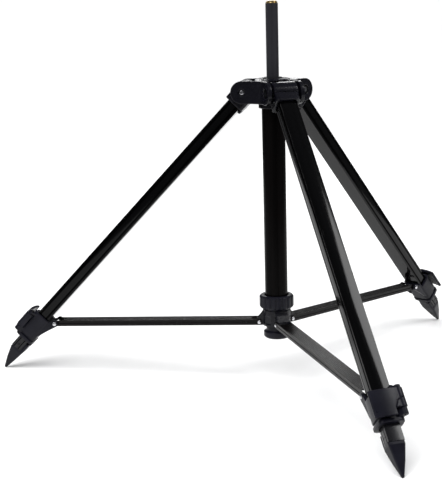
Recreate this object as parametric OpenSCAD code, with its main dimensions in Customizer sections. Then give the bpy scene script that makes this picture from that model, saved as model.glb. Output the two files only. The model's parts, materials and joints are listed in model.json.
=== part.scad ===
// Three-leg hunting stand: a column on three folding, extending legs, held open by
// braces from a sliding hub, with a threaded rod on top.
// Millimetres, +Z up. Origin: on the ground, on the axis of the column.

/* [Stand] */
// Height of the leg pivots above the ground
pivot_z = 385.5; // [380:0.5:392]
// Distance of the leg pivots from the column axis
pivot_r = 36.9; // [36.5:0.1:38]
// Angle of the open legs from the vertical, degrees
leg_lean = 43.36; // [42:0.02:44]
// Height of the top of the rod
rod_top_z = 497; // [450:1:560]

/* [Column] */
// Outer diameter of the column tube
tube_d = 30; // [29.6:0.1:30]
// Wall of the column tube
tube_wall = 1.5; // [1.2:0.1:1.8]
// Diameter of the rod
rod_d = 16; // [14:0.5:18]
// Minor diameter of the thread in the brass insert
thread_d = 5.2; // [4.8:0.1:6]

/* [Crown] */
// Distance of the inner faces of a pair of ears from their mid plane
ear_in = 19.4; // [18.5:0.1:20]
// Thickness of an ear
ear_t = 5; // [4.5:0.1:5.5]
// Radius of the rounded end of an ear
ear_r = 14.6; // [14:0.1:15]
// Diameter of a pivot bolt
bolt_d = 6; // [5:0.5:6]

/* [Legs] */
// Width of the upper leg tube
upper_w = 24; // [23.8:0.1:24.2]
// Width of the lower leg channel
lower_w = 20; // [19:0.1:20.2]
// Wall of the upper leg tube
upper_wall = 1.5; // [1.2:0.1:1.5]
// Half the width of a leg head
head_half = 16; // [15.5:0.1:16]
// Half the width of a leg collar
collar_half = 15; // [14.8:0.1:15.4]

/* [Braces] */
// Width of a brace channel
brace_w = 20; // [19:0.1:20.2]
// Depth of a brace channel
brace_h = 8; // [7.5:0.1:8.4]
// Sheet of a brace
brace_wall = 1.2; // [1:0.1:1.4]

/* [Hidden] */

$fn = 64;
eps = 0.01;
running = 0.06;      // radial clearance of a part that turns or slides
fixed = 0.03;        // radial clearance of a part that stays put

// Directions of the three legs round the column
front = 270;
right = 30;
left = 150;
legs = [front, right, left];

tube_r = tube_d / 2;
tube_bore = tube_r - tube_wall;
rod_r = rod_d / 2;
bolt_r = bolt_d / 2;
ear_out = ear_in + ear_t;

// Heights on the column
tube_bottom_z = 74.5;
crown_bottom_z = pivot_z - ear_r;
crown_top_z = pivot_z + ear_r;
dome_z = crown_top_z + 2;
tube_top_z = crown_top_z - 16.2;
rod_bottom_z = 190;
cap_bottom_z = 57.8;
cap_r = 17.6;
spigot_l = 14;       // of the end cap, up the tube
bush_r = 13;
bush_flange_r = 14.5;
screw_r = 18.5;      // distance of the crown screws from the axis

// Leg frame: s runs down the leg from its pivot, x outwards from it, y along the pivot.
upper_out = 8.1;     // outer face of the upper tube
upper_in = -10.9;    // its inner face
lower_out = 6.35;
lower_in = -9.2;
lower_wall = 1.4;
lower_lip = 4;       // width of each lip on the open inner side of the lower leg
bow_r = 72.5;        // radius of the gently bowed outer face
side_r = 60;         // radius of the bowed sides of a collar
head_end = 20;
collar_top = 421;
collar_low_top = 428; // top of the collar under the lever plate
collar_end = 457;
lip_end = 464.5;     // lower end of the flared lip
knob_end = 469.5;
upper_end = 436;
lower_top = 95;
lower_end = 484;
foot_inner_top = 470;
tip_r = 2;
tip_x = -8;
tip_s = (pivot_z + tip_x * sin(leg_lean) - tip_r) / cos(leg_lean);

// Brace pin on the collar, in the leg frame
ear_pin_s = 417.1;
ear_pin_x = -20.1;
brace_pin_r = 1.55;
rivet_head_r = 2.9;

// The same pin and the pin on the hub, from the column axis and the ground
collar_pin_r = pivot_r + ear_pin_s * sin(leg_lean) + ear_pin_x * cos(leg_lean);
collar_pin_z = pivot_z - ear_pin_s * cos(leg_lean) + ear_pin_x * sin(leg_lean);
hub_pin_r = 22;
hub_pin_z = 79.6;
brace_l = norm([collar_pin_r - hub_pin_r, collar_pin_z - hub_pin_z]);
brace_tilt = atan2(hub_pin_z - collar_pin_z, collar_pin_r - hub_pin_r);

// Lever hinge, in the leg frame
lever_x = 14;
lever_y = 15.5;
barrel_r = 5.4;
lever_s0 = 428;
lever_s1 = 451;
knuckle_s0 = 424;    // top of the upper knuckle on the collar
knuckle_s1 = 459.4;  // bottom of the lower one
knuckle_gap = 0.5;   // between the barrel and a knuckle
lever_pin_r = 1.5;
plate_x = 20;        // outside of the lever plate at y = 0
plate_r = 73;        // radius of its outside
plate_t = 3.6;
plate_edge = -19.4;  // its free edge along y
plate_end = 460;     // its lower end
slit_w = 1.1;

// Hub and lock ring
hub_r = 18.5;
hub_z0 = 74.8;
hub_z1 = 97;
lug_half = brace_w / 2 - brace_wall - 0.2;
neck_r = 17.5;
ring_r = 22.7;
ring_z0 = 97.6;
ring_z1 = 116.5;
flutes = 18;

// ---------- helpers ----------

// Puts a part drawn in the leg frame on the leg that points to azimuth a
module on_leg(a)
    rotate([0, 0, a]) translate([pivot_r, 0, pivot_z]) rotate([0, -leg_lean, 0]) children();

// Puts a part drawn from the hub pin outwards on the brace that points to azimuth a
module on_brace(a)
    rotate([0, 0, a]) translate([hub_pin_r, 0, hub_pin_z]) rotate([0, brace_tilt, 0]) children();

// Extrudes a section of the leg frame from s0 to s1 down the leg
module along(s0, s1) translate([0, 0, -s1]) linear_extrude(height = s1 - s0) children();

// A cylinder along y, centred on y = 0
module cross_pin(r, len) rotate([90, 0, 0]) cylinder(r = r, h = len, center = true);

// A rivet along y: shank, and a domed head outside each face
module rivet(r, head_r, half, head_h = 1.3) {
    cross_pin(r, 2 * half + 2 * eps);
    for (side = [-1, 1])
        translate([0, side * half, 0]) rotate([-90 * side, 0, 0])
            rivet_head(head_r, head_h);
}

// A shallow domed head that stands on z = 0
module rivet_head(r, h) {
    ball = (r * r + h * h) / (2 * h);
    rotate_extrude() intersection() {
        translate([0, h - ball]) circle(r = ball);
        square([r, h]);
    }
}

// Rectangle with rounded corners, made of true arcs
module round_rect(x0, x1, half, r) {
    translate([x0 + r, -half]) square([x1 - x0 - 2 * r, 2 * half]);
    translate([x0, -half + r]) square([x1 - x0, 2 * half - 2 * r]);
    for (x = [x0 + r, x1 - r], y = [-half + r, half - r]) translate([x, y]) circle(r = r, $fn = 32);
}

// Outline of a leg section with its bowed outer face at x = out
module bowed(x0, out, half)
    intersection() {
        translate([x0, -half]) square([out - x0, 2 * half]);
        translate([out - bow_r, 0]) circle(r = bow_r, $fn = 240);
    }

// Closed section of a leg with fine grooves along its sides
module leg_tube(x0, out, w, wall, groove)
    difference() {
        bowed(x0, out, w / 2);
        bowed(x0 + wall, out - wall, w / 2 - wall);
        for (side = [-1, 1], x = [out - 4.5, x0 + 4])
            translate([x, side * w / 2]) square([1.6, 2 * groove], center = true);
    }

// ---------- crown and column ----------

valley_r = 24;       // radius of the hollow between two neighbouring arms
head_seat_r = 4.3;   // seat of a bolt head
nut_seat_r = 5.8;
seat_depth = 2.4;

// Web that rounds the hollow between two arms, centred on azimuth 60
module valley() {
    centre = (valley_r + ear_out) / sin(60);
    touch_x = centre * cos(60) ^ 2 + ear_out * sin(60);
    touch_y = (centre * sin(60) - ear_out) * cos(60);
    rotate([0, 0, 60]) translate([0, 0, crown_bottom_z]) linear_extrude(height = 2 * ear_r)
        difference() {
            polygon([[20, 0], [touch_x, touch_y], [touch_x, -touch_y]]);
            translate([centre, 0]) circle(r = valley_r, $fn = 96);
        }
}

// Side outline of a pair of ears, drawn as x outwards and y up
module ear_outline() {
    square([pivot_r, 2 * ear_r]);
    translate([pivot_r, ear_r]) circle(r = ear_r, $fn = 96);
}

module arm() {
    difference() {
        translate([0, ear_out, crown_bottom_z]) rotate([90, 0, 0])
            linear_extrude(height = 2 * ear_out) ear_outline();
        // room for the leg head
        translate([21, -ear_in, crown_bottom_z - 1]) cube([40, 2 * ear_in, 2 * ear_r + 2]);
    }
    // bosses that meet the leg head
    for (side = [-1, 1])
        translate([pivot_r, side * (head_half + 0.15 + ear_in) / 2, pivot_z])
            cross_pin(6.5, ear_in - head_half - 0.15 + eps);
}

module bolt_seat(side, r)
    translate([pivot_r, side * (ear_out + 3), pivot_z]) cross_pin(r, 2 * (3 + seat_depth));

module crown()
    color([0.09, 0.09, 0.11]) difference() {
        union() {
            for (a = legs) rotate([0, 0, a]) {
                arm();
                valley();
            }
            // crowned top
            translate([0, 0, crown_top_z - eps]) cylinder(r1 = 24.5, r2 = 20, h = 2, $fn = 96);
            // boss round the tube
            translate([0, 0, crown_bottom_z - 7]) cylinder(r = 19, h = 8);
        }
        // tube socket, bush seat and the seat of the bush flange
        translate([0, 0, crown_bottom_z - 8])
            cylinder(r = tube_r + fixed, h = tube_top_z + 0.1 - crown_bottom_z + 8, $fn = 96);
        cylinder(r = bush_r + fixed, h = 500, $fn = 96);
        translate([0, 0, dome_z - 1]) cylinder(r = bush_flange_r + fixed, h = 5, $fn = 96);
        for (a = legs) rotate([0, 0, a]) {
            translate([pivot_r, 0, pivot_z]) cross_pin(bolt_r + running, 60);
            bolt_seat(1, head_seat_r);
            bolt_seat(-1, nut_seat_r);
            // countersunk screw seats on the top
            rotate([0, 0, 60]) translate([screw_r, 0, 0]) {
                translate([0, 0, dome_z - 2]) cylinder(r = 3.4, h = 3, $fn = 32);
                translate([0, 0, dome_z - 12]) cylinder(r = 1.8, h = 12, $fn = 32);
            }
        }
    }

module guide_bush()
    color([0.05, 0.05, 0.05]) difference() {
        union() {
            translate([0, 0, crown_top_z - 16]) cylinder(r = bush_r, h = 18, $fn = 96);
            translate([0, 0, dome_z - 1])
                cylinder(r1 = bush_flange_r, r2 = 11, h = 2.6, $fn = 96);
        }
        cylinder(r = rod_r + running, h = 600, $fn = 96);
    }

module crown_screws()
    color([0.55, 0.55, 0.57]) for (a = legs) rotate([0, 0, a + 60]) translate([screw_r, 0, 0])
        difference() {
            union() {
                translate([0, 0, dome_z - 2]) cylinder(r = 3.3, h = 1.7, $fn = 32);
                translate([0, 0, dome_z - 11]) cylinder(r = 1.75, h = 9 + eps, $fn = 32);
            }
            translate([0, 0, dome_z - 1.2]) cylinder(r = 1.5, h = 2, $fn = 6);
        }

module column_tube()
    color([0.1, 0.1, 0.11]) translate([0, 0, tube_bottom_z]) difference() {
        cylinder(r = tube_r, h = tube_top_z - tube_bottom_z, $fn = 120);
        translate([0, 0, -1]) cylinder(r = tube_bore, h = 500, $fn = 120);
    }

module end_cap()
    color([0.06, 0.06, 0.07]) union() {
        translate([0, 0, cap_bottom_z]) cylinder(r1 = cap_r - 2.6, r2 = cap_r, h = 2.4, $fn = 96);
        translate([0, 0, cap_bottom_z + 2.4]) cylinder(r = cap_r, h = 6.4, $fn = 96);
        translate([0, 0, cap_bottom_z + 8.8]) cylinder(r1 = cap_r, r2 = cap_r - 2, h = 1.4, $fn = 96);
        translate([0, 0, cap_bottom_z + 10.2])
            cylinder(r = tube_r - 1, h = tube_bottom_z - cap_bottom_z - 10.2, $fn = 96);
        translate([0, 0, tube_bottom_z - eps])
            cylinder(r = tube_bore - fixed, h = spigot_l, $fn = 96);
    }

module pivot_bolts()
    color([0.62, 0.62, 0.64]) for (a = legs) rotate([0, 0, a]) translate([pivot_r, 0, pivot_z])
        difference() {
            union() {
                translate([0, -0.9, 0]) cross_pin(bolt_r, 2 * ear_out - 2.8);
                translate([0, ear_out - 2.3 - eps, 0]) rotate([-90, 0, 0]) rivet_head(4.2, 2);
            }
            translate([0, ear_out, 0]) rotate([90, 0, 0]) cylinder(r = 1.9, h = 1.6, $fn = 6);
        }

module pivot_nuts()
    color([0.62, 0.62, 0.64]) for (a = legs) rotate([0, 0, a])
        translate([pivot_r, -ear_out + 2.25, pivot_z]) rotate([90, 0, 0]) difference() {
            cylinder(r = 5.4, h = 2, $fn = 6);
            translate([0, 0, -1]) cylinder(r = bolt_r + fixed, h = 4, $fn = 48);
        }

// ---------- hub ----------

// Side outline of one hub lug, drawn as x outwards and y up from the hub pin
module lug_outline() {
    x_in = 16 - hub_pin_r;
    difference() {
        polygon([[x_in, -3.8], [0, -4.6], [4.4, -2.4], [5, 1], [5, 4.2], [-1.5, 11.5], [-3.8, 15.5],
                 [x_in, 15.5]]);
        translate([-3.2, -7.4]) circle(r = 3.2, $fn = 48);
    }
}

module hub()
    color([0.09, 0.09, 0.1]) difference() {
        union() {
            translate([0, 0, hub_z0]) cylinder(r = hub_r, h = hub_z1 - hub_z0, $fn = 96);
            translate([0, 0, hub_z1 - eps]) cylinder(r = neck_r, h = 13, $fn = 96);
            for (a = legs) rotate([0, 0, a]) translate([hub_pin_r, lug_half, hub_pin_z])
                rotate([90, 0, 0]) linear_extrude(height = 2 * lug_half) lug_outline();
        }
        cylinder(r = tube_r + running, h = 200, $fn = 96);
        for (a = legs) rotate([0, 0, a]) translate([hub_pin_r, 0, hub_pin_z])
            cross_pin(brace_pin_r + fixed, 60);
        // cored pockets between the lugs
        for (a = legs) rotate([0, 0, a + 60]) translate([hub_r + 0.6, 0, hub_z0 + 9])
            cube([3, 9, 11], center = true);
    }

module hub_rivets()
    color([0.75, 0.75, 0.77]) for (a = legs) rotate([0, 0, a])
        translate([hub_pin_r, 0, hub_pin_z]) rivet(brace_pin_r, 2.7, brace_w / 2 + 0.15, 1.4);

module hub_collet()
    color([0.05, 0.05, 0.05]) difference() {
        translate([0, 0, hub_z1 + 13.2]) cylinder(r1 = 17.2, r2 = 16, h = 4, $fn = 96);
        translate([0, 0, 100]) cylinder(r = tube_r + running, h = 30, $fn = 96);
        translate([16, 0, hub_z1 + 15]) cube([8, 1.5, 8], center = true);
    }

module lock_ring()
    color([0.1, 0.1, 0.11]) difference() {
        union() {
            translate([0, 0, ring_z0]) cylinder(r1 = 19, r2 = ring_r, h = 3.4, $fn = 108);
            translate([0, 0, ring_z0 + 3.4]) cylinder(r = ring_r, h = 13.5, $fn = 108);
            translate([0, 0, ring_z0 + 16.9 - eps])
                cylinder(r1 = ring_r, r2 = ring_r - 2.2, h = ring_z1 - ring_z0 - 16.9, $fn = 108);
        }
        translate([0, 0, ring_z0 - 1]) cylinder(r = neck_r + running, h = 14, $fn = 96);
        translate([0, 0, ring_z0 + 12]) cylinder(r = 17.4, h = 5.2, $fn = 96);
        translate([0, 0, ring_z0 + 12]) cylinder(r = 16.4, h = 20, $fn = 96);
        for (i = [0 : flutes - 1]) rotate([0, 0, (i + 0.5) * 360 / flutes])
            translate([ring_r + 0.5, 0, ring_z0 - 1]) cylinder(r = 1.9, h = 30, $fn = 24);
    }

// ---------- rod ----------

module rod()
    color([0.11, 0.11, 0.12]) difference() {
        translate([0, 0, rod_bottom_z]) cylinder(r = rod_r, h = rod_top_z - rod_bottom_z, $fn = 96);
        translate([0, 0, rod_bottom_z - 1]) cylinder(r = 6, h = rod_top_z - rod_bottom_z - 20, $fn = 64);
        translate([0, 0, rod_top_z - 14]) cylinder(r = 6.4 + fixed, h = 20, $fn = 64);
    }

module thread_insert()
    color([0.78, 0.6, 0.25]) difference() {
        union() {
            translate([0, 0, rod_top_z - 13.9]) cylinder(r = 6.4, h = 13.9, $fn = 64);
            translate([0, 0, rod_top_z]) cylinder(r = rod_r - 0.5, h = 1.4, $fn = 64);
            translate([0, 0, rod_top_z + 1.4]) cylinder(r1 = rod_r - 0.5, r2 = 5.6, h = 1.8, $fn = 64);
        }
        translate([0, 0, rod_top_z - 20]) cylinder(r = thread_d / 2, h = 30, $fn = 64);
        translate([0, 0, rod_top_z + 2.4]) cylinder(r1 = thread_d / 2, r2 = thread_d / 2 + 0.9, h = 0.9);
    }

module rod_plug()
    color([0.05, 0.05, 0.05]) translate([0, 0, rod_bottom_z - 4]) difference() {
        union() {
            cylinder(r = tube_bore - running, h = 3.9, $fn = 96);
            cylinder(r = 6 - fixed, h = 20, $fn = 64);
        }
        translate([0, 0, -1]) cylinder(r = 3.5, h = 30, $fn = 48);
    }

// ---------- leg parts, drawn in the leg frame ----------

module leg_head_shape()
    difference() {
        union() {
            cross_pin(14.2, 2 * head_half, $fn = 96);
            along(0, 8) round_rect(-12, 10.2, head_half, 1);
            along(7, head_end) round_rect(-15.4, 12.4, head_half, 4);
            // inner tongue behind the tube
            along(head_end - 1, 26) round_rect(-15.4, upper_in - 0.1, 9, 1.2);
        }
        // socket for the tube
        along(10, 40) bowed(upper_in - 0.05, upper_out + 0.05, upper_w / 2 + 0.05);
        // groove under the eye
        along(6.8, 7.8) translate([10.3, -20]) square([4, 40]);
        // hook for the pivot bolt, open towards the column and upwards
        cross_pin(bolt_r + running, 60);
        hook_slot();
        translate([-2, 0, -16]) cross_pin(2 + fixed, 60);
    }

// Slot that leaves the pivot bore up the leg and inwards, a little flared
module hook_slot()
    translate([0, head_half + 1, 0]) rotate([90, 0, 0]) linear_extrude(height = 2 * head_half + 2)
        polygon([for (p = [[-2.85, 0], [2.85, 0], [6.2, 18], [-6.2, 18]])
            [p[0] * cos(32) - p[1] * sin(32), p[0] * sin(32) + p[1] * cos(32)]]);

module upper_leg_shape()
    difference() {
        along(10.2, upper_end) leg_tube(upper_in, upper_out, upper_w, upper_wall, 0.4);
        translate([-2, 0, -16]) cross_pin(2 + fixed, 60);
    }

module head_pin_shape() translate([-2, 0, -16]) cross_pin(2, 2 * head_half - 0.5);

// Section of the collar body with gently bowed sides
module collar_section(grow = 0)
    intersection() {
        round_rect(-14.6 - grow, 12 + grow, collar_half + 0.6 + grow, 7);
        translate([-1.3, side_r - collar_half - 0.6 - grow]) side_bow();
        translate([-1.3, collar_half + 0.6 + grow - side_r]) side_bow();
    }

module side_bow() circle(r = side_r, $fn = 240);

// Body of the collar with its lip, the ears for the brace and the knuckles of the lever
module leg_collar_shape()
    difference() {
        union() {
            along(collar_top, collar_end) collar_section();
            along(collar_end - eps, collar_end + 3) round_rect(-12.9, 10, collar_half - 1.8, 5);
            along(collar_end + 3 - eps, lip_end) collar_section(0.6);
            along(lip_end - 1, knob_end) round_rect(-15.4, -10.6, 7.5, 2);
            for (side = [-1, 1]) translate([0, side * 12.1, 0]) collar_ear();
            // knuckles
            for (s = [[knuckle_s0, lever_s0 - knuckle_gap], [lever_s1 + knuckle_gap, knuckle_s1]])
                along(s[0], s[1]) hull() {
                    translate([lever_x, lever_y]) circle(r = 4.2, $fn = 32);
                    translate([lever_x - 6, lever_y - 5]) circle(r = 4, $fn = 32);
                }
        }
        open_face();
        // seats of the upper and the lower leg
        along(collar_top - 10, upper_end + 0.05)
            bowed(upper_in - 0.05, upper_out + 0.05, upper_w / 2 + 0.05);
        along(upper_end, 480) bowed(lower_in - 0.1, lower_out + 0.1, lower_w / 2 + 0.1);
        // room for the barrel of the lever and for its clamp shoe
        along(lever_s0 - knuckle_gap, lever_s1 + knuckle_gap)
            translate([lever_x, lever_y]) circle(r = barrel_r + 0.15);
        along(438, 447) translate([0, 1.9]) square([10, 9.4]);
        along(400, 480) translate([lever_x, lever_y]) circle(r = lever_pin_r + fixed, $fn = 32);
        translate([ear_pin_x, 0, -ear_pin_s]) cross_pin(brace_pin_r + fixed, 60);
    }

// Leaves the upper leg bare above the lever plate, but for the wall on the hinge side
module open_face()
    translate([upper_in, 0, 0]) rotate([90, 0, 90]) linear_extrude(height = 30)
        polygon([[-24, -collar_top + 12], [9, -collar_top + 12], [9, -collar_top - 1],
                 [7, -collar_low_top], [-24, -collar_low_top]]);

// One ear with its gusset, centred on y = 0
module collar_ear()
    translate([0, 1.5, 0]) rotate([90, 0, 0]) linear_extrude(height = 3) {
        translate([ear_pin_x, -ear_pin_s]) circle(r = 4.6, $fn = 48);
        polygon([[ear_pin_x - 4, -ear_pin_s - 2.2], [ear_pin_x + 1.5, -ear_pin_s + 4.3],
                 [-12.55, -collar_top - 2], [-12.55, -450], [-15.5, -446], [-19, -434]]);
    }

module lever_shape()
    difference() {
        union() {
            along(lever_s0, lever_s1) translate([lever_x, lever_y]) circle(r = barrel_r);
            // plate over the outer face
            along(lever_s0, lever_s1) lever_plate(lever_y);
            along(lever_s1 - eps, plate_end) lever_plate(5);
        }
        along(400, 480) translate([lever_x, lever_y]) circle(r = lever_pin_r + running, $fn = 32);
        // relief line across the plate, from the barrel to its lower edge
        plate_slit(439, 17, 443, 9);
        plate_slit(442.5, 9.4, 451.5, 4.8);
        // flat that frees the clamp shoe when the lever is open
        along(lever_s0 - 1, lever_s1 + 1) translate([lever_x - 7, lever_y + 4.6]) square([14, 4]);
    }

// Section of the lever plate from its free edge to y1
module lever_plate(y1) {
    intersection() {
        difference() {
            translate([plate_x - plate_r, 0]) circle(r = plate_r, $fn = 240);
            translate([plate_x - plate_r, 0]) circle(r = plate_r - plate_t, $fn = 240);
        }
        translate([10, plate_edge]) square([12, y1 - plate_edge]);
    }
    edge_x = plate_x - plate_r + sqrt(plate_r ^ 2 - plate_edge ^ 2);
    translate([edge_x - plate_t / 2, plate_edge]) circle(r = plate_t / 2, $fn = 32);
}

// Shallow slit in the outside of the plate between two places given as s and y
module plate_slit(s0, y0, s1, y1)
    translate([plate_x - 2, y0, -s0]) rotate([atan2(s0 - s1, y1 - y0), 0, 0])
        cube([4, norm([s1 - s0, y1 - y0]), slit_w]);

module lever_pin_shape() {
    along(knuckle_s0 - 0.1, knuckle_s1 + 0.6)
        translate([lever_x, lever_y]) circle(r = lever_pin_r, $fn = 32);
    translate([lever_x, lever_y, 0.05 - knuckle_s0]) rivet_head(3, 1.2);
}

module clamp_shoe_shape()
    along(438.2, 446.8) polygon([[lower_out - 0.05, 2.2], [9.6, 2.2], [9.9, 9.5], [9.9, 11.1],
                                 [6.8, 11.1], [lower_out - 0.05, 9.6]]);

module lower_leg_shape()
    difference() {
        along(lower_top, lower_end) leg_tube(lower_in, lower_out - 0.1, lower_w, lower_wall, 0.35);
        // opening on the inner side, between two lips
        along(lower_top - 1, lower_end + 1) translate([lower_in - 1, lower_lip - lower_w / 2])
            square([lower_wall + 2, lower_w - 2 * lower_lip]);
        translate([-2, 0, -477]) cross_pin(1.8 + fixed, 60);
    }

// Sliding guide on the upper end of the lower leg
module guide_plug_shape() {
    along(lower_top - 8, lower_top - 0.02)
        intersection() {
            bowed(lower_in, lower_out + 0.1, upper_w / 2 - upper_wall - 0.1);
            translate([lower_in, -11]) square([30, 22]);
        }
    along(lower_top - 0.1, lower_top + 14)
        translate([lower_in + lower_wall + 0.05, -lower_w / 2 + lower_wall + 0.05])
            square([11.9, lower_w - 2 * lower_wall - 0.1]);
}

// Solid spike: a tongue in the lower leg, a block behind it and the tapering point
module spike_foot_shape()
    difference() {
        union() {
            hull() {
                along(lower_end + 0.03, lower_end + 4) round_rect(-13.4, 5.3, 10, 3);
                along(504, 505) round_rect(-11.9, 0, 6.2, 2.5);
                translate([tip_x, 0, -tip_s]) sphere(r = tip_r, $fn = 24);
            }
            along(foot_inner_top, lower_end + 1) round_rect(-14, lower_in - 0.06, 9.4, 1.5);
            along(foot_inner_top, lower_end + 1) translate([lower_in - 0.2, -5.8]) square([3, 11.6]);
            along(foot_inner_top, lower_end + 1)
                translate([lower_in + lower_wall + 0.05, -lower_w / 2 + lower_wall + 0.06])
                    square([11.6, lower_w - 2 * lower_wall - 0.12]);
        }
        translate([-2, 0, -477]) cross_pin(1.8 + fixed, 60);
    }

module foot_pin_shape() translate([-2, 0, -477]) cross_pin(1.8, lower_w - 0.2);

// ---------- brace, drawn from the hub pin outwards ----------

// U section of a brace, open downwards, with grooves along its web
module brace_section() difference() {
    translate([-brace_w / 2, -brace_h / 2]) square([brace_w, brace_h]);
    translate([-brace_w / 2 + brace_wall, -brace_h])
        square([brace_w - 2 * brace_wall, brace_h * 1.5 - brace_wall]);
    for (i = [-3 : 3]) translate([i * 2.6 - 0.5, brace_h / 2 - 0.5]) square([1, 1]);
}

module brace_shape()
    difference() {
        union() {
            rotate([90, 0, 90]) linear_extrude(height = brace_l) brace_section();
            for (x = [0, brace_l], side = [-1, 1])
                translate([x, side * (brace_w - brace_wall) / 2, 0]) cross_pin(brace_h / 2, brace_wall);
        }
        // the web stops short of both pins, with slanted ends
        for (end = [0, 1]) translate([end * brace_l, 0, 0]) mirror([end, 0, 0])
            translate([0, brace_w / 2 - brace_wall, 0]) rotate([90, 0, 0])
                linear_extrude(height = brace_w - 2 * brace_wall)
                    polygon([[-6, 1], [9.5, 1], [13.5, 6], [-6, 6]]);
        for (x = [0, brace_l]) translate([x, 0, 0]) cross_pin(brace_pin_r + running, 60);
    }

module brace_rivet_shape()
    translate([ear_pin_x, 0, -ear_pin_s]) rivet(brace_pin_r, 2.8, 13.62, 1.3);

plastic = [0.1, 0.1, 0.12];
gloss = [0.05, 0.05, 0.06];
steel = [0.72, 0.72, 0.74];

module leg_head(a) color(plastic) on_leg(a) leg_head_shape();
module upper_leg(a) color(gloss) on_leg(a) upper_leg_shape();
module head_pin(a) color(steel) on_leg(a) head_pin_shape();
module leg_collar(a) color(plastic) on_leg(a) leg_collar_shape();
module lever(a) color(plastic) on_leg(a) lever_shape();
module lever_pin(a) color(steel) on_leg(a) lever_pin_shape();
module clamp_shoe(a) color([0.05, 0.05, 0.05]) on_leg(a) clamp_shoe_shape();
module lower_leg(a) color(gloss) on_leg(a) lower_leg_shape();
module guide_plug(a) color([0.05, 0.05, 0.05]) on_leg(a) guide_plug_shape();
module spike_foot(a) color(plastic) on_leg(a) spike_foot_shape();
module foot_pin(a) color(steel) on_leg(a) foot_pin_shape();
module brace(a) color([0.2, 0.18, 0.18]) on_brace(a) brace_shape();
module brace_rivet(a) color(steel) on_leg(a) brace_rivet_shape();

crown();
guide_bush();
crown_screws();
column_tube();
end_cap();
pivot_bolts();
pivot_nuts();
hub();
hub_rivets();
hub_collet();
lock_ring();
rod();
thread_insert();
rod_plug();
leg_head(front);  // leg_head_front
upper_leg(front);  // upper_leg_front
head_pin(front);  // head_pin_front
leg_collar(front);  // leg_collar_front
lever(front);  // lever_front
lever_pin(front);  // lever_pin_front
clamp_shoe(front);  // clamp_shoe_front
lower_leg(front);  // lower_leg_front
guide_plug(front);  // guide_plug_front
spike_foot(front);  // spike_foot_front
foot_pin(front);  // foot_pin_front
brace(front);  // brace_front
brace_rivet(front);  // brace_rivet_front
leg_head(right);  // leg_head_right
upper_leg(right);  // upper_leg_right
head_pin(right);  // head_pin_right
leg_collar(right);  // leg_collar_right
lever(right);  // lever_right
lever_pin(right);  // lever_pin_right
clamp_shoe(right);  // clamp_shoe_right
lower_leg(right);  // lower_leg_right
guide_plug(right);  // guide_plug_right
spike_foot(right);  // spike_foot_right
foot_pin(right);  // foot_pin_right
brace(right);  // brace_right
brace_rivet(right);  // brace_rivet_right
leg_head(left);  // leg_head_left
upper_leg(left);  // upper_leg_left
head_pin(left);  // head_pin_left
leg_collar(left);  // leg_collar_left
lever(left);  // lever_left
lever_pin(left);  // lever_pin_left
clamp_shoe(left);  // clamp_shoe_left
lower_leg(left);  // lower_leg_left
guide_plug(left);  // guide_plug_left
spike_foot(left);  // spike_foot_left
foot_pin(left);  // foot_pin_left
brace(left);  // brace_left
brace_rivet(left);  // brace_rivet_left
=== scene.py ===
"""Looks for the tripod hunting stand: materials, rounded edges, studio and camera."""

import json
import math

import bmesh
import bpy
from mathutils import Matrix, Vector


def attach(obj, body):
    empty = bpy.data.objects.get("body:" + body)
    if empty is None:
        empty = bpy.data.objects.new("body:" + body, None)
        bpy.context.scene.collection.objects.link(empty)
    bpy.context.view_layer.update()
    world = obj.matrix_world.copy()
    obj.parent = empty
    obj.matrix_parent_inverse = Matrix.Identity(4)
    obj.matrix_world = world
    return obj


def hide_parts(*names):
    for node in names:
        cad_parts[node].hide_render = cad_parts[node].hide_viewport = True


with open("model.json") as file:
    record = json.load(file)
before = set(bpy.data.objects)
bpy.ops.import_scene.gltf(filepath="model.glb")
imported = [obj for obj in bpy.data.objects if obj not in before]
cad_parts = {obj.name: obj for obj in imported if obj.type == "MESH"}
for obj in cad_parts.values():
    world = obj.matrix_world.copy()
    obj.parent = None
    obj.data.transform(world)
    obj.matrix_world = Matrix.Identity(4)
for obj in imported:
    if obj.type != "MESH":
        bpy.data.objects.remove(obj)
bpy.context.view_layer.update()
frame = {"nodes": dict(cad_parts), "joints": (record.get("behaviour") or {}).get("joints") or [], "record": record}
nodes = frame["nodes"]
joints = {joint["name"]: joint for joint in frame["joints"]}

SIDES = ("front", "right", "left")
MM = 0.001


# ---------- places ----------

# The lever hinge in a leg's own frame: outwards, along the pivot, up the leg
LEVER_IN_LEG = Vector((14, 15.5, -439.5)) * MM


def leg_frame(side):
    """Matrix of a leg's own frame: origin on its pivot, x outwards, y along the pivot, z up the leg."""
    lever = joints[f"lever_flip_{side}"]
    up = Vector(lever["axis"]).normalized()
    across = Vector(joints[f"leg_swing_{side}"]["axis"]).normalized()
    out = across.cross(up).normalized()
    turn = Matrix((out, across, up)).transposed()
    origin = Vector(lever["pos_m"]) - turn @ LEVER_IN_LEG
    return Matrix.Translation(origin) @ turn.to_4x4()


def brace_frame(side):
    """Matrix of a brace's own frame: origin on the hub pin, x towards the collar, y along the pin."""
    inner = Vector(joints[f"brace_swing_{side}"]["pos_m"])
    outer = Vector(joints[f"leg_swing_{side}"]["pos_m"])
    along = (outer - inner).normalized()
    across = Vector(joints[f"brace_swing_{side}"]["axis"]).normalized()
    up = along.cross(across).normalized()
    return Matrix.Translation(inner) @ Matrix((along, across, up)).transposed().to_4x4()


LEG = {side: leg_frame(side) for side in SIDES}
BRACE = {side: brace_frame(side) for side in SIDES}


# ---------- materials ----------

# Cosine between a face and its rounded normal where edge wear begins and where it is full
WEAR_BEGINS, WEAR_FULL = 0.995, 0.9
# Noise stretched along an extrusion, in features per metre on each axis
DIE_LINES = (900, 900, 5)
BROAD_BANDS = (120, 120, 2)
HANDLING_MARKS = (160, 160, 40)
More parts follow.
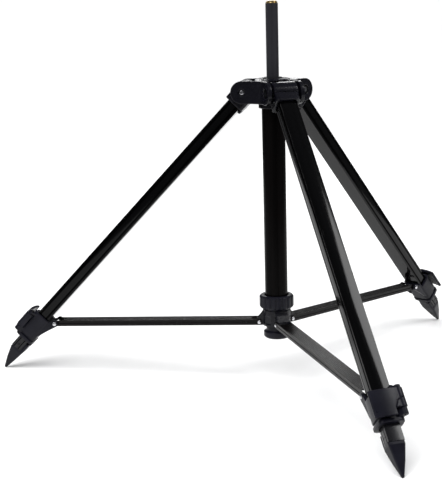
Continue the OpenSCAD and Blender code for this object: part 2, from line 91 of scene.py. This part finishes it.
# Grooves of the extrusions, where shade is painted: axis, places and half width, in the piece's own frame
LEG_GROOVES = (0, (-6.9 * MM, 3.6 * MM), 1.2 * MM)
LOWER_GROOVES = (0, (-5.2 * MM, 1.75 * MM), 0.8 * MM)
BRACE_GROOVES = (1, tuple(2.6 * i * MM for i in range(-3, 4)), 0.65 * MM)


class Shader:
    """A node material that is put together a few nodes at a time."""

    def __init__(self, name, place=None):
        self.material = bpy.data.materials.new(name)
        self.material.use_nodes = True
        self.tree = self.material.node_tree
        self.body = self.tree.nodes["Principled BSDF"]
        coords = self.add("ShaderNodeTexCoord").outputs["Object"]
        if place is not None:
            # the piece's own axes, so that grain runs along it
            move = self.add("ShaderNodeMapping", vector_type="TEXTURE")
            move.inputs["Location"].default_value = place.to_translation()
            move.inputs["Rotation"].default_value = place.to_euler()
            self.link(coords, move.inputs["Vector"])
            coords = move.outputs["Vector"]
        self.coords = coords

    def add(self, kind, **settings):
        made = self.tree.nodes.new(kind)
        for key, value in settings.items():
            setattr(made, key, value)
        return made

    def link(self, start, end):
        self.tree.links.new(start, end)

    def stretched(self, scale):
        """The coordinates scaled on each axis."""
        made = self.add("ShaderNodeMapping")
        made.inputs["Scale"].default_value = scale
        self.link(self.coords, made.inputs["Vector"])
        return made.outputs["Vector"]

    def noise(self, scale, detail=4.0, roughness=0.55, coords=None):
        made = self.add("ShaderNodeTexNoise")
        made.inputs["Scale"].default_value = scale
        made.inputs["Detail"].default_value = detail
        made.inputs["Roughness"].default_value = roughness
        self.link(coords or self.coords, made.inputs["Vector"])
        return made.outputs["Fac"]

    def grain(self, lay, detail, roughness=0.55):
        """Noise stretched by lay on each axis."""
        return self.noise(1.0, detail, roughness, self.stretched(lay))

    def cells(self, scale):
        made = self.add("ShaderNodeTexVoronoi")
        made.inputs["Scale"].default_value = scale
        self.link(self.coords, made.inputs["Vector"])
        return made.outputs["Distance"]

    def remap(self, value, low, high, to_low, to_high):
        made = self.add("ShaderNodeMapRange")
        for key, number in zip(("From Min", "From Max", "To Min", "To Max"), (low, high, to_low, to_high)):
            made.inputs[key].default_value = number
        self.link(value, made.inputs["Value"])
        return made.outputs["Result"]

    def mix(self, amount, low, high):
        """A colour between two, each an (r, g, b) or a socket."""
        made = self.add("ShaderNodeMix", data_type="RGBA")
        self.link(amount, made.inputs["Factor"])
        for socket, value in ((made.inputs[6], low), (made.inputs[7], high)):
            if isinstance(value, tuple):
                socket.default_value = (*value, 1.0)
            else:
                self.link(value, socket)
        return made.outputs[2]

    def calculate(self, operation, *values):
        """One step of arithmetic on numbers and sockets."""
        made = self.add("ShaderNodeMath", operation=operation)
        for socket, value in zip(made.inputs, values):
            if isinstance(value, (int, float)):
                socket.default_value = value
            else:
                self.link(value, socket)
        return made.outputs[0]

    def near(self, axis, places, reach):
        """1 where a coordinate (0, 1 or 2) is within reach of one of the places, else 0."""
        split = self.add("ShaderNodeSeparateXYZ")
        self.link(self.coords, split.inputs[0])
        total = 0.0
        for place in places:
            inside = self.calculate("COMPARE", split.outputs[axis], place, reach)
            total = self.calculate("MAXIMUM", total, inside)
        return total

    def edges(self, radius):
        """1 on sharp edges and 0 on flat faces."""
        bevel = self.add("ShaderNodeBevel", samples=6)
        bevel.inputs["Radius"].default_value = radius
        face = self.add("ShaderNodeNewGeometry").outputs["Normal"]
        dot = self.add("ShaderNodeVectorMath", operation="DOT_PRODUCT")
        self.link(bevel.outputs["Normal"], dot.inputs[0])
        self.link(face, dot.inputs[1])
        return self.remap(dot.outputs["Value"], WEAR_BEGINS, WEAR_FULL, 0, 1)

    def bump(self, height, distance, strength, before=None):
        made = self.add("ShaderNodeBump")
        made.inputs["Distance"].default_value = distance
        made.inputs["Strength"].default_value = strength
        self.link(height, made.inputs["Height"])
        if before is not None:
            self.link(before, made.inputs["Normal"])
        return made.outputs["Normal"]

    def set(self, **inputs):
        """Sets or links inputs of the surface, such as Base_Color or Roughness."""
        for key, value in inputs.items():
            socket = self.body.inputs[key.replace("_", " ")]
            if isinstance(value, bpy.types.NodeSocket):
                self.link(value, socket)
            else:
                socket.default_value = value
        return self.material


def lightened(colour, gain, lift):
    return tuple(min(1.0, part * gain + lift) for part in colour)


def moulded(name, dark, light, rough, specular=0.15):
    """Glass-filled plastic: fine spark-eroded texture, faint flow marks, rubbed edges."""
    s = Shader(name)
    flow = s.remap(s.noise(34, detail=5), 0.35, 0.65, 0, 1)
    patches = s.remap(s.noise(160), 0.42, 0.62, 0.15, 0.75)
    rub = s.calculate("MULTIPLY", s.edges(0.7 * MM), patches)
    colour = s.mix(rub, s.mix(flow, dark, light), lightened(light, 3.2, 0.02))
    uneven = s.bump(s.noise(420, detail=3), 0.042 * MM, 0.3)
    texture = s.bump(s.cells(1500), 0.06 * MM, 0.5, uneven)
    return s.set(Base_Color=colour, Specular_IOR_Level=specular, Normal=texture,
                 Roughness=s.remap(s.noise(60, detail=6), 0.3, 0.7, rough - 0.06, rough + 0.07))


def anodised(name, place, dark, light, rough, specular=0.14, grooves=None):
    """Anodised aluminium extrusion: die lines along its length, small handling marks.

    grooves is the axis, the places and the half width of grooves where shade is painted: darker colour and less
    specular inside.
    """
    s = Shader(name, place)
    lines = s.grain(DIE_LINES, detail=5)
    broad = s.remap(s.grain(BROAD_BANDS, detail=2), 0.35, 0.65, 0, 1)
    marks = s.remap(s.grain(HANDLING_MARKS, detail=6, roughness=0.7), 0.66, 0.74, 0, 0.35)
    patches = s.remap(s.noise(120), 0.4, 0.6, 0.1, 0.7)
    rub = s.calculate("MULTIPLY", s.edges(0.4 * MM), patches)
    colour = s.mix(rub, s.mix(broad, dark, light), lightened(light, 4, 0.05))
    if grooves:
        # painted shade: the grooves are drawn darker and less specular, as if shade fell in them
        groove_shade = s.near(*grooves)
        specular = s.remap(groove_shade, 0, 1, specular, 0.1 * specular)
        colour = s.mix(groove_shade, colour, tuple(0.4 * part for part in dark))
    drawn = s.remap(lines, 0.3, 0.7, rough - 0.03, rough + 0.04)
    return s.set(Base_Color=colour, Specular_IOR_Level=specular, Normal=s.bump(lines, 0.02 * MM, 0.4),
                 Roughness=s.calculate("ADD", drawn, marks))


def metal(name, dark, light, rough, lay):
    """Bare or plated metal with fine turned or drawn lines."""
    s = Shader(name)
    lines = s.grain(lay, detail=6)
    stain = s.remap(s.noise(240, detail=4), 0.3, 0.7, 0, 1)
    return s.set(Base_Color=s.mix(stain, dark, light), Metallic=1.0, Normal=s.bump(lines, 0.05 * MM, 0.6),
                 Roughness=s.remap(lines, 0.3, 0.7, rough, rough + 0.14))


MATERIALS = {
    "polymer": moulded("moulded_black", (0.0035, 0.0035, 0.0062), (0.0065, 0.0065, 0.0105), 0.32),
    "shell": moulded("moulded_gloss", (0.0018, 0.0018, 0.0032), (0.0035, 0.0035, 0.0058), 0.25, 0.2),
    "nylon": moulded("nylon_black", (0.004, 0.004, 0.005), (0.007, 0.007, 0.008), 0.5),
    "tube": anodised("tube_anodised", None, (0.0012, 0.001, 0.001), (0.0022, 0.0018, 0.0018), 0.2, 0.035),
    "rod": anodised("rod_coating", None, (0.012, 0.012, 0.015), (0.019, 0.019, 0.023), 0.3, 0.3),
    "steel": metal("zinc_steel", (0.5, 0.5, 0.52), (0.78, 0.78, 0.8), 0.2, (500, 500, 500)),
    "black_steel": metal("black_oxide_steel", (0.008, 0.008, 0.009), (0.02, 0.02, 0.022), 0.24,
                         (400, 400, 400)),
    "bolt_steel": metal("bolt_steel", (0.2, 0.2, 0.21), (0.36, 0.36, 0.38), 0.14, (500, 500, 500)),
    "brass": metal("turned_brass", (0.62, 0.4, 0.13), (0.85, 0.62, 0.28), 0.18, (300, 300, 3000)),
}
for side in SIDES:
    lengthways = BRACE[side] @ Matrix.Rotation(math.pi / 2, 4, "Y")
    MATERIALS |= {
        f"leg_{side}": anodised(f"leg_anodised_{side}", LEG[side], (0.0005, 0.0005, 0.0006),
                                (0.0012, 0.0012, 0.0014), 0.09, grooves=LEG_GROOVES),
        f"lower_{side}": anodised(f"lower_anodised_{side}", LEG[side], (0.003, 0.003, 0.0036),
                                  (0.006, 0.006, 0.0075), 0.22, 0.3, LOWER_GROOVES),
        f"brace_{side}": anodised(f"brace_anodised_{side}", lengthways, (0.0022, 0.0018, 0.0018),
                                  (0.0045, 0.0038, 0.0038), 0.24, 0.11, BRACE_GROOVES),
    }

# Which material a node takes, by the part of its name before the side
FINISH = {
    "crown": "shell", "guide_bush": "nylon", "crown_screws": "black_steel", "column_tube": "tube",
    "end_cap": "polymer", "pivot_bolts": "bolt_steel", "pivot_nuts": "black_steel", "hub": "shell",
    "hub_rivets": "steel", "hub_collet": "nylon", "lock_ring": "polymer", "rod": "rod",
    "thread_insert": "brass", "rod_plug": "nylon", "leg_head": "shell", "head_pin": "black_steel",
    "leg_collar": "polymer", "lever": "polymer", "lever_pin": "black_steel", "clamp_shoe": "nylon",
    "guide_plug": "nylon", "spike_foot": "polymer", "foot_pin": "black_steel", "brace_rivet": "steel",
}
# The nodes whose material lies along their own axes, with the start of its name
FINISH_BY_SIDE = {"upper_leg": "leg", "lower_leg": "lower", "brace": "brace"}


def split_name(node):
    """A node's name without its side, and the side or None."""
    kind, _, side = node.rpartition("_")
    return (kind, side) if side in SIDES else (node, None)


def material_of(node):
    kind, side = split_name(node)
    if kind in FINISH_BY_SIDE:
        return MATERIALS[f"{FINISH_BY_SIDE[kind]}_{side}"]
    return MATERIALS[FINISH[kind]]


# ---------- pieces ----------

# Moulded parts that get a skin with rounded edges and fillets: voxel in mm, smoothing passes
SKINS = {
    "crown": (0.5, 7), "leg_head": (0.45, 40), "leg_collar": (0.42, 7), "lever": (0.32, 6),
    "hub": (0.45, 6), "end_cap": (0.45, 6), "lock_ring": (0.42, 4), "spike_foot": (0.4, 5),
    "guide_bush": (0.4, 3),
}
# Share of a skin's faces that is kept
SKIN_KEEP = 0.3
# Turn of each leg from the front one, in degrees
LEG_TURN = {"front": 0, "right": 120, "left": 240}
# Pieces with bowed sides: the bow's radius, and how many lengthways cuts it is made with
BOWED = ("upper_leg", "lower_leg", "guide_plug")
BOW_RADIUS = 62 * MM
BOW_CUTS = 11
# Points this close are one, and a cut this close to a point goes through it
WELD = 0.01 * MM
CUT_SNAP = WELD / 10
# Softened edge of the other pieces, in mm: the usual one, and where it differs
USUAL_EDGE = 0.2
SOFT_EDGE = {"upper_leg": 0.35, "lower_leg": 0.35, "brace": 0.3, "rod": 0.5, "thread_insert": 0.25}
SHARP_ANGLE = math.radians(32)

BODY_OF = {node: body for body, members in frame["record"]["behaviour"]["bodies"].items()
           for node in members}


def smooth_faces(mesh):
    for face in mesh.polygons:
        face.use_smooth = True


def moulded_mesh(node, voxel, passes):
    """The node's shape with its edges and inner corners rounded as a moulding's are."""
    work = bpy.data.objects.new("work", nodes[node].data.copy())
    bpy.context.scene.collection.objects.link(work)
    work.modifiers.new("weld", "WELD").merge_threshold = WELD
    remesh = work.modifiers.new("remesh", "REMESH")
    remesh.mode = "VOXEL"
    remesh.voxel_size = voxel * MM
    smooth = work.modifiers.new("smooth", "SMOOTH")
    smooth.factor = 0.5
    smooth.iterations = passes
    work.modifiers.new("reduce", "DECIMATE").ratio = SKIN_KEEP
    graph = bpy.context.evaluated_depsgraph_get()
    mesh = bpy.data.meshes.new_from_object(work.evaluated_get(graph))
    bpy.data.objects.remove(work)
    smooth_faces(mesh)
    return mesh


def add_skin(node, mesh):
    """Puts a mesh in the place of a node, with the node's material."""
    piece = bpy.data.objects.new(f"{node}_shell", mesh)
    bpy.context.scene.collection.objects.link(piece)
    mesh.materials.clear()
    mesh.materials.append(material_of(node))
    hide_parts(node)
    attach(piece, BODY_OF[node])
    return piece


def add_skins():
    """Skins on the moulded parts. One of each leg part is made, and turned to the other legs."""
    for kind, (voxel, passes) in SKINS.items():
        if kind in nodes:
            add_skin(kind, moulded_mesh(kind, voxel, passes))
            continue
        front = moulded_mesh(f"{kind}_front", voxel, passes)
        for side in SIDES:
            mesh = front.copy()
            mesh.transform(Matrix.Rotation(math.radians(LEG_TURN[side]), 4, "Z"))
            add_skin(f"{kind}_{side}", mesh)


def bowed_mesh(node, side):
    """The node's own mesh with its sides cut lengthways and drawn in to a gentle bow."""
    work = bmesh.new()
    work.from_mesh(nodes[node].data)
    bmesh.ops.remove_doubles(work, verts=work.verts, dist=WELD)
    work.transform(LEG[side].inverted())
    places = [vert.co.x for vert in work.verts]
    inner, outer = min(places), max(places)
    half = max(abs(vert.co.y) for vert in work.verts)
    for cut in range(1, BOW_CUTS + 1):
        place = inner + (outer - inner) * cut / (BOW_CUTS + 1)
        bmesh.ops.bisect_plane(work, geom=work.verts[:] + work.edges[:] + work.faces[:],
                               plane_co=(place, 0, 0), plane_no=(1, 0, 0), dist=CUT_SNAP)
    middle = (inner + outer) / 2
    for vert in work.verts:
        vert.co.y *= 1 - (vert.co.x - middle) ** 2 / (2 * BOW_RADIUS * half)
    work.transform(LEG[side])
    mesh = bpy.data.meshes.new(node)
    work.to_mesh(mesh)
    work.free()
    return mesh


def soften(piece, kind):
    """Clean shading and softened edges for an extruded, turned or pressed piece."""
    piece.modifiers.new("weld", "WELD").merge_threshold = WELD
    bevel = piece.modifiers.new("soft edges", "BEVEL")
    bevel.width = SOFT_EDGE.get(kind, USUAL_EDGE) * MM
    bevel.segments = 2
    bevel.limit_method = "ANGLE"
    bevel.angle_limit = SHARP_ANGLE
    piece.modifiers.new("shading", "WEIGHTED_NORMAL").keep_sharp = True
    smooth_faces(piece.data)


def finish_node(node):
    """Gives a node its material, softened edges and, where it has them, bowed sides."""
    kind, side = split_name(node)
    if kind in BOWED:
        piece = add_skin(node, bowed_mesh(node, side))
    else:
        piece = nodes[node]
        piece.data.materials.clear()
        piece.data.materials.append(material_of(node))
    soften(piece, kind)


add_skins()
for node in nodes:
    if split_name(node)[0] not in SKINS:
        finish_node(node)


# ---------- studio ----------

# Radius of the part of the floor that polished faces mirror, as a table would be, and how far
# its middle lies behind the stand
TABLE = 1.35
TABLE_BACK = 0.5
# Far off the floor rises like a studio cove, so a low view meets it and not the sky
COVE_START = 40.0
FLOOR_REACH = 120.0
COVE_HEIGHT = 14.0
RING_POINTS = 72

AIM = Vector((0, 0, 0.22))
SKY_COLOUR = (0.95, 0.97, 1, 1)
SKY_STRENGTH = 0.16
# Softboxes that draw the highlights: place, power in watts, width and height
SOFTBOXES = {
    "key": ((-1.5, -1.3, 1.9), 12, 0.3, 1.2),
    "top": ((1.1, -0.8, 1.7), 13, 0.5, 0.7),
    "back": ((0.6, 2.2, 1.4), 16, 1.2, 0.5),
}


def ring(radius, back=0.0, height=0.0):
    turns = [math.tau * i / RING_POINTS for i in range(RING_POINTS)]
    return [(radius * math.cos(turn), radius * math.sin(turn) + back, height) for turn in turns]


def make_floor():
    """A pale floor: a table round the stand, and a wide rim that reflections don't show."""
    s = Shader("pale_floor")
    tone = s.remap(s.noise(3), 0.3, 0.7, 0, 1)
    material = s.set(Base_Color=s.mix(tone, (0.84, 0.84, 0.84), (0.86, 0.86, 0.86)),
                     Roughness=s.remap(s.noise(14), 0.3, 0.7, 0.6, 0.7), Specular_IOR_Level=0.2)
    table = ring(TABLE, back=TABLE_BACK)
    rim = table + ring(COVE_START) + ring(FLOOR_REACH, height=COVE_HEIGHT)
    rim_faces = []
    for start in (0, RING_POINTS):
        for i in range(RING_POINTS):
            here, following = start + i, start + (i + 1) % RING_POINTS
            rim_faces.append((following, here, here + RING_POINTS, following + RING_POINTS))
    for name, points, faces in (("floor", table, [tuple(range(RING_POINTS))]),
                                ("floor_rim", rim, rim_faces)):
        mesh = bpy.data.meshes.new(name)
        mesh.from_pydata(points, [], faces)
        mesh.materials.append(material)
        floor = bpy.data.objects.new(name, mesh)
        bpy.context.scene.collection.objects.link(floor)
        floor.visible_glossy = name == "floor"


def lamp(name, kind, place, power, **settings):
    """A lamp that is turned to the middle of the stand."""
    data = bpy.data.lights.new(name, kind)
    data.energy = power
    for key, value in settings.items():
        setattr(data, key, value)
    made = bpy.data.objects.new(name, data)
    made.location = place
    made.rotation_euler = (AIM - Vector(place)).to_track_quat("-Z", "Y").to_euler()
    bpy.context.scene.collection.objects.link(made)
    return made


def make_studio():
    """Pale floor under a broad soft light, with three softboxes."""
    make_floor()
    world = bpy.data.worlds.new("studio")
    world.use_nodes = True
    background = world.node_tree.nodes["Background"]
    background.inputs["Color"].default_value = SKY_COLOUR
    background.inputs["Strength"].default_value = SKY_STRENGTH
    bpy.context.scene.world = world
    # broad fill, kept out of the reflections as by a polariser
    fill = lamp("sky", "SUN", (-1.2, -1.0, 3.0), 4.1, angle=math.radians(60))
    fill.visible_glossy = False
    for name, (place, power, width, height) in SOFTBOXES.items():
        lamp(name, "AREA", place, power, shape="RECTANGLE", size=width, size_y=height)


# The photograph's viewing place, heading, tilt and small roll, and a lens that frames it
EYE = Vector((-0.5809, -1.6095, 0.5307))
HEADING = Vector((0.2992, 0.9542, 0)).normalized()
TILT_DOWN = math.radians(11.19)
ROLL = math.radians(-1.44)
SENSOR = 36
LENS = 99.2
SHIFT = (0.0014, -0.0018)
SEE_FAR = 600


def make_camera():
    ahead = HEADING * math.cos(TILT_DOWN) - Vector((0, 0, math.sin(TILT_DOWN)))
    right = ahead.cross(Vector((0, 0, 1))).normalized()
    up = right.cross(ahead)
    rolled_right = right * math.cos(ROLL) + up * math.sin(ROLL)
    rolled_up = up * math.cos(ROLL) - right * math.sin(ROLL)
    turn = Matrix((rolled_right, rolled_up, -ahead)).transposed()
    data = bpy.data.cameras.new("camera")
    data.sensor_width = SENSOR
    data.lens = LENS
    data.shift_x, data.shift_y = SHIFT
    data.clip_end = SEE_FAR
    camera = bpy.data.objects.new("camera", data)
    camera.matrix_world = Matrix.Translation(EYE) @ turn.to_4x4()
    bpy.context.scene.collection.objects.link(camera)
    bpy.context.scene.camera = camera


make_studio()
make_camera()
bpy.context.scene.view_settings.view_transform = "Standard"
